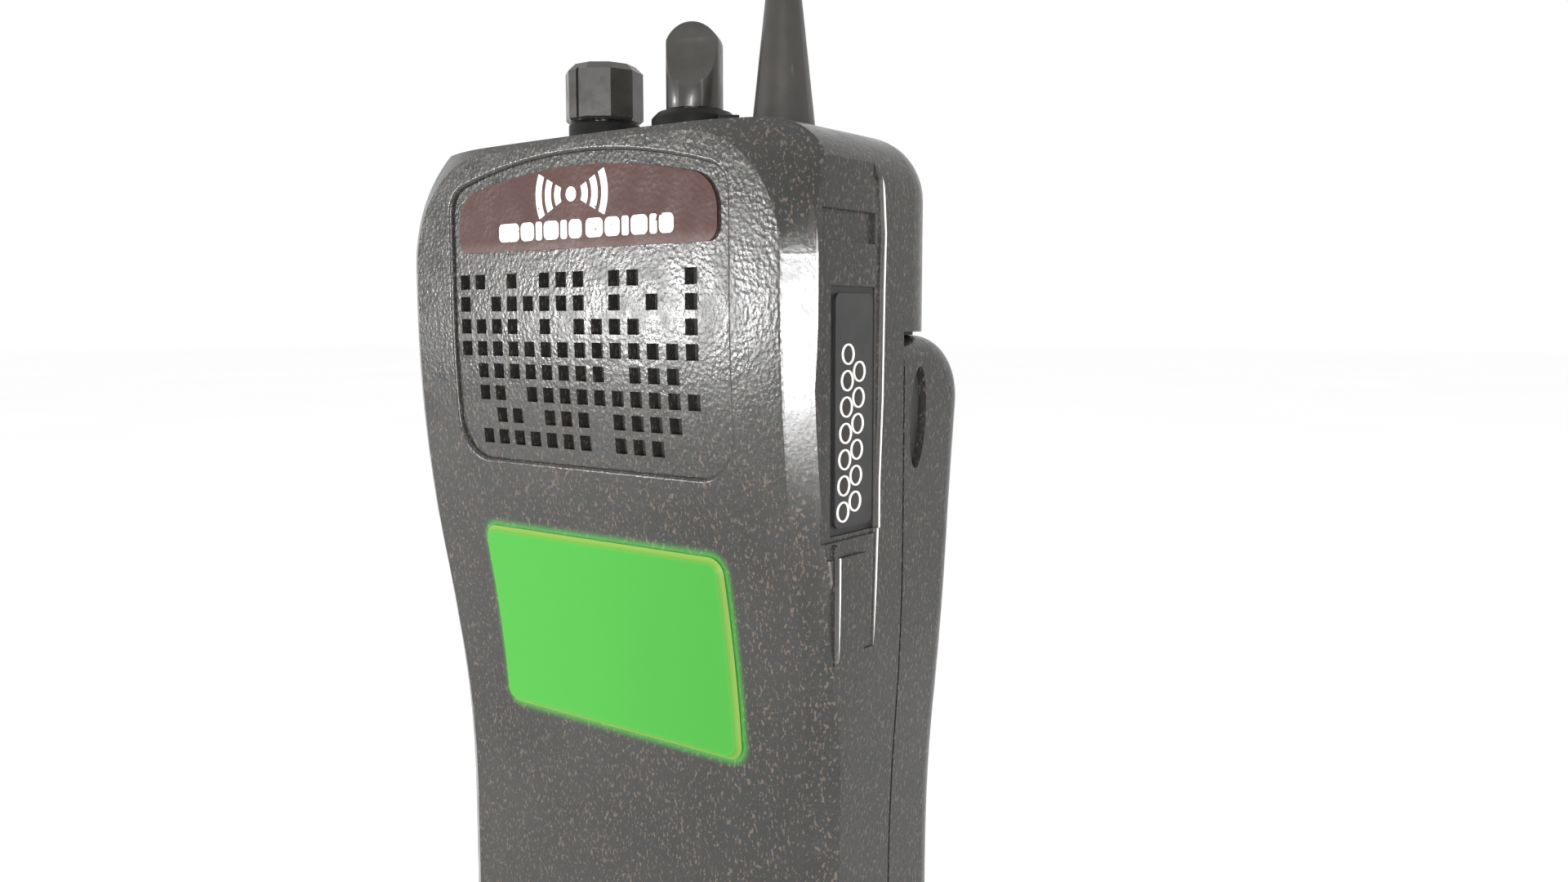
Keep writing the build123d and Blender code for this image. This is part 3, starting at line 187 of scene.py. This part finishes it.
class Graph:
    """A material's node tree with short calls for the nodes used here."""

    def __init__(self, name):
        self.material = bpy.data.materials.new(name)
        self.material.use_nodes = True
        self.nodes = self.material.node_tree.nodes
        self.links = self.material.node_tree.links
        self.shader = self.nodes["Principled BSDF"]
        self.place = self.nodes.new("ShaderNodeTexCoord").outputs["Object"]

    def link(self, source, target):
        self.links.new(source, target)

    def fill(self, socket, value):
        """Links an output to a socket, or sets a number or a colour on it."""
        if hasattr(value, "is_output"):
            self.link(value, socket)
        elif isinstance(value, tuple):
            socket.default_value = (*value, 1)
        else:
            socket.default_value = value

    def set(self, **values):
        for name, value in values.items():
            self.fill(self.shader.inputs[name.replace("_", " ")], value)

    def stretched(self, scale, turn=(0, 0, 0)):
        """The object's own coordinates, scaled and turned."""
        node = self.nodes.new("ShaderNodeMapping")
        node.inputs["Scale"].default_value = scale
        node.inputs["Rotation"].default_value = turn
        self.link(self.place, node.inputs["Vector"])
        return node.outputs["Vector"]

    def noise(self, scale, detail, roughness=0.5, vector=None):
        """Smooth noise, with about as many lumps in a metre as its scale."""
        node = self.nodes.new("ShaderNodeTexNoise")
        node.inputs["Scale"].default_value = scale
        node.inputs["Detail"].default_value = detail
        node.inputs["Roughness"].default_value = roughness
        self.link(vector or self.place, node.inputs["Vector"])
        return node.outputs["Fac"]

    def cells(self, scale):
        node = self.nodes.new("ShaderNodeTexVoronoi")
        node.inputs["Scale"].default_value = scale
        self.link(self.place, node.inputs["Vector"])
        return node.outputs["Distance"]

    def math(self, operation, first, second=0.0):
        node = self.nodes.new("ShaderNodeMath")
        node.operation = operation
        self.fill(node.inputs[0], first)
        self.fill(node.inputs[1], second)
        return node.outputs[0]

    def times(self, first, second):
        """One value multiplied by another."""
        return self.math("MULTIPLY", first, second)

    def ranged(self, value, low, high, to_low=0.0, to_high=1.0):
        """A value's range spread smoothly over another."""
        node = self.nodes.new("ShaderNodeMapRange")
        node.interpolation_type = "SMOOTHSTEP"
        self.link(value, node.inputs["Value"])
        node.inputs["From Min"].default_value = low
        node.inputs["From Max"].default_value = high
        node.inputs["To Min"].default_value = to_low
        node.inputs["To Max"].default_value = to_high
        return node.outputs["Result"]

    def mottle(self, scale, detail, to_low=0.0, to_high=1.0):
        """Noise that fills the range between two values."""
        return self.ranged(self.noise(scale, detail), *NOISE_RANGE, to_low, to_high)

    def mix(self, share, first, second):
        """A colour between two, by a share that a node gives."""
        node = self.nodes.new("ShaderNodeMix")
        node.data_type = "RGBA"
        self.link(share, node.inputs["Factor"])
        self.fill(node.inputs[6], first)
        self.fill(node.inputs[7], second)
        return node.outputs[2]

    def axes(self):
        node = self.nodes.new("ShaderNodeSeparateXYZ")
        self.link(self.place, node.inputs[0])
        return node.outputs

    def normals(self):
        node = self.nodes.new("ShaderNodeSeparateXYZ")
        self.link(self.nodes["Texture Coordinate"].outputs["Normal"], node.inputs[0])
        return node.outputs

    def bump(self, height, strength, distance):
        node = self.nodes.new("ShaderNodeBump")
        node.inputs["Strength"].default_value = strength
        node.inputs["Distance"].default_value = distance
        self.link(height, node.inputs["Height"])
        self.link(node.outputs["Normal"], self.shader.inputs["Normal"])

    def outside_rectangle(self, centre, half, corner):
        """Distance from a rectangle on the XZ plane with rounded corners: none inside it."""
        half = (half[0] - corner, half[1] - corner)
        x, _, z = self.axes()
        across = self.math("MAXIMUM", self.math("SUBTRACT", self.math("ABSOLUTE", x), half[0]), 0)
        height = self.math("ABSOLUTE", self.math("SUBTRACT", z, centre))
        up = self.math("MAXIMUM", self.math("SUBTRACT", height, half[1]), 0)
        squares = self.math("ADD", self.math("POWER", across, 2), self.math("POWER", up, 2))
        return self.math("MAXIMUM", self.math("SUBTRACT", self.math("SQRT", squares), corner), 0)


# Materials


def fleck_cover(g):
    """How much of the plastic the flecks cover, in two directions."""
    layers = []
    for scale, turn, edges in FLECKS:
        spots = g.noise(scale, 1.5, vector=g.stretched(FLECK_STRETCH, turn))
        layers.append(g.ranged(spots, *edges))
    return g.times(g.math("MAXIMUM", *layers), FLECK_COVER)


def screen_halo(g):
    """How strongly the display's painted green glow lights the face round it."""
    low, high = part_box("display_lens")
    half = ((high.x - low.x) / 2, (high.z - low.z) / 2)
    away = g.outside_rectangle((low.z + high.z) / 2, half, SCREEN_CORNER)
    near = g.math("POWER", g.ranged(away, 0, HALO_REACH, 1, 0), 2.2)
    return g.times(near, g.ranged(g.axes()[1], *FACE_FORWARDS))


def painted_wall_light(g, colour):
    """Paints light onto the low walls on the right side that face forwards, to lift their shade,
    and a painted white highlight along their outer edge.
    """
    x = g.axes()[0]
    wall = g.times(g.ranged(g.normals()[1], *FACING_FORWARDS), g.ranged(x, *WALL_ACROSS))
    colour = g.mix(g.times(wall, 0.75), colour, WALL_PAINTED_LIGHT)
    return g.mix(g.times(wall, g.ranged(x, *WALL_EDGE)), colour, EDGE_HIGHLIGHT_WHITE)


def rubbed_bevel(g):
    """How much the hand has smoothed the bevel down the right front edge."""
    x, y, _ = g.axes()
    return g.times(g.ranged(x, *BEVEL_ACROSS), g.ranged(y, *BEVEL_FORWARDS))


def speckled(name, front):
    """Charcoal plastic with tan flecks and a grain; front adds a rubbed bevel, painted highlights
    on the side walls and the display's painted glow.
    """
    g = Graph(name)
    colour = g.mix(fleck_cover(g), g.mix(g.mottle(60, 3), *CHARCOAL), TAN_FLECK)
    grain = g.math("ADD", g.noise(2100, 3, 0.55), g.times(g.cells(1900), 0.6))
    roughness = g.mottle(300, 3, 0.20, 0.30)
    if front:
        # Painted glow: the display's green light painted into the colour and emission of the face
        # round it
        halo = screen_halo(g)
        # Painted light and a painted highlight on the side walls that face forwards
        colour = painted_wall_light(g, g.mix(g.times(halo, 0.4), colour, SCREEN_SHADE))
        g.set(Emission_Color=SCREEN_GREEN, Emission_Strength=g.times(halo, 0.16))
        rubbed = rubbed_bevel(g)
        grain = g.times(grain, g.math("SUBTRACT", 1.0, g.times(rubbed, 0.75)))
        roughness = g.math("SUBTRACT", roughness, g.times(rubbed, 0.06))
    g.set(Base_Color=colour, Roughness=roughness, Specular_IOR_Level=0.4)
    g.bump(grain, 0.45, 0.075 * MM)
    return g.material


def moulded(name, tones, roughness, bump=0.12, coat=0.0, sheen=0.5):
    """Plain moulded plastic or rubber with faint mottling, scuffs and a fine grain."""
    g = Graph(name)
    scuffs = g.ranged(g.noise(700, 2, vector=g.stretched((1, 1, 0.12))), 0.66, 0.74)
    ground = g.mix(g.mottle(140, 4), *tones)
    g.set(Base_Color=g.mix(g.times(scuffs, 0.25), ground, SCUFF))
    g.set(Roughness=g.mottle(420, 3, roughness - 0.06, roughness + 0.08))
    g.set(Coat_Weight=coat, Coat_Roughness=0.12, Specular_IOR_Level=sheen)
    g.bump(g.noise(1100, 4), bump, 0.1 * MM)
    return g.material


def metal(name, tint, roughness):
    """Drawn metal with fine streaks."""
    g = Graph(name)
    streaks = g.noise(900, 3, vector=g.stretched((1, 1, 0.08)))
    dark = tuple(0.75 * c for c in tint)
    g.set(Base_Color=g.mix(g.ranged(streaks, *NOISE_RANGE), dark, tint), Metallic=1.0)
    g.set(Roughness=g.ranged(streaks, *NOISE_RANGE, roughness - 0.08, roughness + 0.1))
    g.bump(streaks, 0.1, 0.05 * MM)
    return g.material


def name_plate_material():
    """Maroon plate with a leathery grain, paler along its lower edge with a painted highlight."""
    g = Graph("plate_maroon")
    low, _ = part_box("name_plate")
    # Painted highlight along the plate's lower edge
    lower_highlight = g.ranged(g.axes()[2], low.z + PLATE_HIGHLIGHT_BAND, low.z)
    ground = g.mix(g.mottle(90, 3), tuple(0.85 * c for c in MAROON), MAROON)
    g.set(Base_Color=g.mix(g.times(lower_highlight, 0.15), ground, MAROON_HIGHLIGHT))
    g.set(Roughness=g.mottle(300, 3, 0.36, 0.48), Specular_IOR_Level=0.2)
    g.bump(g.math("ADD", g.noise(1900, 4, 0.6), g.cells(1700)), 0.35, 0.06 * MM)
    return g.material


def display_material():
    """A lit lens: even green, a yellower rim round its face, and painted shade on the wall round
    its side.
    """
    g = Graph("display_green")
    low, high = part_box("display_lens")
    half = ((high.x - low.x) / 2, (high.z - low.z) / 2)
    face = (half[0] - SCREEN_RIM, half[1] - SCREEN_RIM)
    away = g.outside_rectangle((low.z + high.z) / 2, face, SCREEN_CORNER - SCREEN_RIM)
    rim = g.math("POWER", g.ranged(away, 0, SCREEN_RIM), 1.3)
    shade = g.math("ADD", g.ranged(g.axes()[0], -half[0], half[0]), g.mottle(40, 2, -0.12, 0.12))
    green = g.mix(g.ranged(shade, 0.1, 1.6), SCREEN_GREEN, SCREEN_SHADE)
    # Painted shade on the lens's side walls, by how far they turn from facing forwards
    side = g.ranged(g.math("ABSOLUTE", g.normals()[1]), 0.8, 0.45)
    lit = g.mix(side, g.mix(rim, green, SCREEN_EDGE), SCREEN_SIDE_SHADE)
    g.set(Base_Color=SCREEN_UNLIT, Emission_Color=lit, Emission_Strength=1.0)
    g.set(Roughness=g.mottle(500, 3, 0.30, 0.36), Specular_IOR_Level=0.3)
    g.bump(g.noise(300, 2), 0.05, 0.03 * MM)
    return g.material


def cloth_material():
    """Dark cloth woven of threads that cross."""
    g = Graph("grille_cloth")
    x, _, z = g.axes()
    turns = 2 * pi / THREAD_PITCH
    weave = g.times(g.math("SINE", g.times(x, turns)), g.math("SINE", g.times(z, turns)))
    g.set(Base_Color=g.mix(g.ranged(weave, -1, 1), *CLOTH), Roughness=0.9)
    g.bump(weave, 0.5, 0.1 * MM)
    return g.material


def printed_white(name):
    """White print with a few chips through to the maroon."""
    g = Graph(name)
    chips = g.ranged(g.noise(1300, 3), 0.66, 0.72)
    g.set(Base_Color=g.mix(chips, PRINT_WHITE, MAROON), Roughness=0.5)
    g.bump(g.noise(1000, 3), 0.15, 0.05 * MM)
    return g.material


def connector_material():
    """A grey pad that stands in a darker frame, with a painted highlight along the frame's front
    edge.
    """
    g = Graph("connector_grey")
    low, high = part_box("connector_panel")
    pad = g.ranged(g.axes()[0], *(high.x - depth for depth in PAD_EDGE))
    glint = g.ranged(g.axes()[1], *(low.y + depth for depth in GLINT_EDGE))
    mottle = g.mottle(200, 4)
    around = g.mix(glint, g.mix(mottle, *CONNECTOR_FRAME), EDGE_GLINT)
    g.set(Base_Color=g.mix(pad, around, g.mix(mottle, *CONNECTOR_PAD)))
    g.set(Roughness=g.mottle(420, 3, 0.4, 0.52))
    g.bump(g.noise(1400, 4), 0.12, 0.06 * MM)
    return g.material


SLOT_MATERIALS = {
    "dark_plastic": moulded("dark_plastic", DARK_PLASTIC, 0.5),
    "knob_plastic": moulded("knob_plastic", KNOB_PLASTIC, 0.30, coat=0.1),
    "antenna_rubber": moulded("antenna_rubber", KNOB_PLASTIC, 0.36, bump=0.2),
    "plate_maroon": name_plate_material(),
    "display_green": display_material(),
    "grille_cloth": cloth_material(),
    "connector_grey": connector_material(),
    "contact_white": moulded("contact_white", CONTACT_WHITE, 0.35, bump=0.05),
    "contact_dark": moulded("contact_dark", CONTACT_DARK, 0.5),
    "circuit_green": moulded("circuit_green", CIRCUIT_GREEN, 0.4),
    "component_black": moulded("component_black", COMPONENT_BLACK, 0.45),
    "steel": metal("steel", STEEL, 0.32),
    "brass": metal("brass", BRASS, 0.28),
}
SPECKLED_CASE = speckled("speckled_case", front=False)
# Painted shadow for the zone ring and the volume collar, in shade under the knobs
PAINTED_SHADOW_PLASTIC = moulded("painted_shadow_plastic", PAINTED_SHADOW_BLACK, 0.5, sheen=0.15)
OWN_MATERIALS = {
    "front_housing": speckled("speckled_front", front=True),
    "zone_ring": PAINTED_SHADOW_PLASTIC,
    "volume_collar": PAINTED_SHADOW_PLASTIC,
}


def soften_edges(node, width):
    """Rounds a node's sharp edges by a width in metres."""
    weld = node.modifiers.new("weld", "WELD")
    weld.merge_threshold = WELD_DISTANCE
    bevel = node.modifiers.new("soft_edges", "BEVEL")
    bevel.width = width
    bevel.segments = 2
    bevel.limit_method = "ANGLE"
    bevel.angle_limit = SHARP_ANGLE
    bevel.harden_normals = True
    bevel.miter_outer = "MITER_ARC"


def dress_cad_nodes():
    """Gives every CAD node its own material or its slot's, and softens the edges of some."""
    for part in frame["record"]["subparts"]:
        name, slot = part["node"], part["material_slot"]
        node = frame["nodes"][name]
        material = OWN_MATERIALS.get(name) or SLOT_MATERIALS.get(slot, SPECKLED_CASE)
        node.data.materials.clear()
        node.data.materials.append(material)
        if name in SOFT_EDGES:
            soften_edges(node, SOFT_EDGES[name] * MM)


# Pieces made here


def new_object(name, data):
    """An object of the scene that shows some data."""
    thing = bpy.data.objects.new(name, data)
    bpy.context.scene.collection.objects.link(thing)
    return thing


def raised_piece(name, outlines, rise):
    """Flat closed outlines, counterclockwise seen from where they rise to, raised as one mesh."""
    points, faces = [], []
    for outline in outlines:
        count = len(outline)
        base = range(len(points), len(points) + count)
        top = range(base.stop, base.stop + count)
        points += [Vector(point) for point in outline]
        points += [Vector(point) + rise for point in outline]
        faces += [tuple(reversed(base)), tuple(top)]
        faces += [(base[k - 1], base[k], top[k], top[k - 1]) for k in range(count)]
    mesh = bpy.data.meshes.new(name)
    mesh.from_pydata(points, [], faces)
    return new_object(name, mesh)


def arc_band(centre, inner, outer, start, end, steps=20):
    """The outline of a stretch of ring, in degrees from +X."""
    angles = [radians(start + (end - start) * k / steps) for k in range(steps + 1)]
    out = [(centre[0] + outer * cos(a), centre[1] + outer * sin(a)) for a in angles]
    back = [(centre[0] + inner * cos(a), centre[1] + inner * sin(a)) for a in reversed(angles)]
    return out + back


def rounded_rectangle(left, right, low, high, low_radius, high_radius, steps):
    """The outline of a rectangle with one radius on its low corners and one on its high corners."""
    corners = (
        (right - high_radius, high - high_radius, high_radius, 0),
        (left + high_radius, high - high_radius, high_radius, 90),
        (left + low_radius, low + low_radius, low_radius, 180),
        (right - low_radius, low + low_radius, low_radius, 270),
    )
    points = []
    for x, y, radius, turn in corners:
        for k in range(steps + 1):
            a = radians(turn + 90 * k / steps)
            points.append((x + radius * cos(a), y + radius * sin(a)))
    return points


def wave_sign(centre, height):
    """A mast's head with waves on both sides, for a plate of the given height."""
    outlines = [arc_band(centre, 0, MAST_RADIUS * height, 0, MAST_ANGLE)]
    for k in range(WAVES):
        radius = (WAVE_RADIUS + WAVE_STEP * k) * height
        outer = radius + WAVE_THICKNESS * height
        for side in (0, 180):
            start, end = side - WAVE_ANGLE / 2, side + WAVE_ANGLE / 2
            outlines.append(arc_band(centre, radius, outer, start, end))
    return outlines


def block_row(left, bottom, width, height):
    """A row of rounded blocks, for a plate of the given size."""
    outlines = []
    top = bottom + BLOCK_HEIGHT * height
    for share in BLOCKS:
        right = left + share * width
        if share:
            radius = min(right - left, top - bottom) * BLOCK_ROUNDING
            outlines.append(rounded_rectangle(left, right, bottom, top, radius, radius, 6))
        left += (share + BLOCK_GAP) * width
    return outlines


def add_plate_print():
    """A generic wave sign over a row of blocks, in place of any lettering."""
    low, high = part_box("name_plate")
    width, height = high.x - low.x, high.z - low.z
    centre = (low.x + SIGN_CENTRE[0] * width, low.z + SIGN_CENTRE[1] * height)
    outlines = wave_sign(centre, height)
    left, bottom = low.x + BLOCKS_START[0] * width, low.z + BLOCKS_START[1] * height
    outlines += block_row(left, bottom, width, height)
    on_plate = [[(x, low.y, z) for x, z in outline] for outline in outlines]
    piece = raised_piece("plate_print", on_plate, Vector((0, -PRINT_THICKNESS, 0)))
    piece.data.materials.append(printed_white("print_white"))
    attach(piece, "housing")


def add_pack_seal():
    """A soft seal that the battery pack's top closes against, under the housing's overhang."""
    pack_low, pack_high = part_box("battery_case")
    _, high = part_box("front_housing")
    half = high.x - SEAL_SIDE_INSET
    front, back = pack_low.y + SEAL_FRONT_INSET, high.y - SEAL_BACK_INSET
    outline = rounded_rectangle(-half, half, front, back, SEAL_FRONT_CORNER, SEAL_BACK_CORNER, 8)
    over_pack = [(x, y, pack_high.z + SEAL_PLAY) for x, y in outline]
    piece = raised_piece("pack_seal", [over_pack], Vector((0, 0, SEAL_THICKNESS)))
    piece.data.materials.append(moulded("seal_foam", DARK_PLASTIC, 0.7, sheen=0.2))
    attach(piece, "housing")


def add_sprung_parts():
    """Copies of the springs and the talk button's dome, on their bodies in place of the hidden CAD
    nodes.
    """
    for node, body, joint, axis, fixed_end, keep in SPRUNG_PARTS:
        piece = new_object(node + "_flexing", frame["nodes"][node].data.copy())
        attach(piece, body)
        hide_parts(node)
        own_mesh(piece)


# Stage


def add_floor():
    """A white floor under the radio."""
    mesh = bpy.data.meshes.new("floor")
    r = FLOOR_REACH
    corners = [(-r, -r, 0), (r, -r, 0), (r, r, 0), (-r, r, 0)]
    mesh.from_pydata(corners, [], [(0, 1, 2, 3)])
    floor = new_object("floor", mesh)
    g = Graph("floor_paint")
    g.set(Base_Color=g.mix(g.mottle(3, 2), *FLOOR_WHITE), Roughness=0.9)
    floor.data.materials.append(g.material)


def add_white_world():
    world = bpy.data.worlds.new("studio")
    bpy.context.scene.world = world
    world.use_nodes = True
    background = world.node_tree.nodes["Background"]
    background.inputs["Color"].default_value = (1, 1, 1, 1)
    background.inputs["Strength"].default_value = 1.0


def aim(thing, direction):
    """Points a light or a camera in a direction."""
    thing.rotation_mode = "QUATERNION"
    thing.rotation_quaternion = direction.to_track_quat("-Z", "Y")


def add_light(name, direction, distance, size, watts):
    """A rectangular soft light that looks at the upper body."""
    data = bpy.data.lights.new(name, "AREA")
    data.shape = "RECTANGLE"
    data.size, data.size_y = size
    data.energy = watts
    light = new_object(name, data)
    light.location = UPPER_BODY + Vector(direction).normalized() * distance
    aim(light, UPPER_BODY - light.location)


def add_camera():
    """A wide lens close to the radio's front right, a little below the top."""
    data = bpy.data.cameras.new("camera")
    data.lens, data.sensor_width = LENS, SENSOR_WIDTH
    data.clip_start, data.clip_end = CLIP_NEAR, CLIP_FAR
    camera = new_object("camera", data)
    camera.location = CAMERA_PLACE
    level = cos(CAMERA_DROP)
    sideways, forwards = -sin(CAMERA_AZIMUTH) * level, cos(CAMERA_AZIMUTH) * level
    aim(camera, Vector((sideways, forwards, -sin(CAMERA_DROP))))
    bpy.context.scene.camera = camera


dress_cad_nodes()
add_plate_print()
add_pack_seal()
add_sprung_parts()
add_floor()
add_white_world()
for light in LIGHTS:
    add_light(*light)
add_camera()
bpy.context.scene.view_settings.view_transform = "Standard"
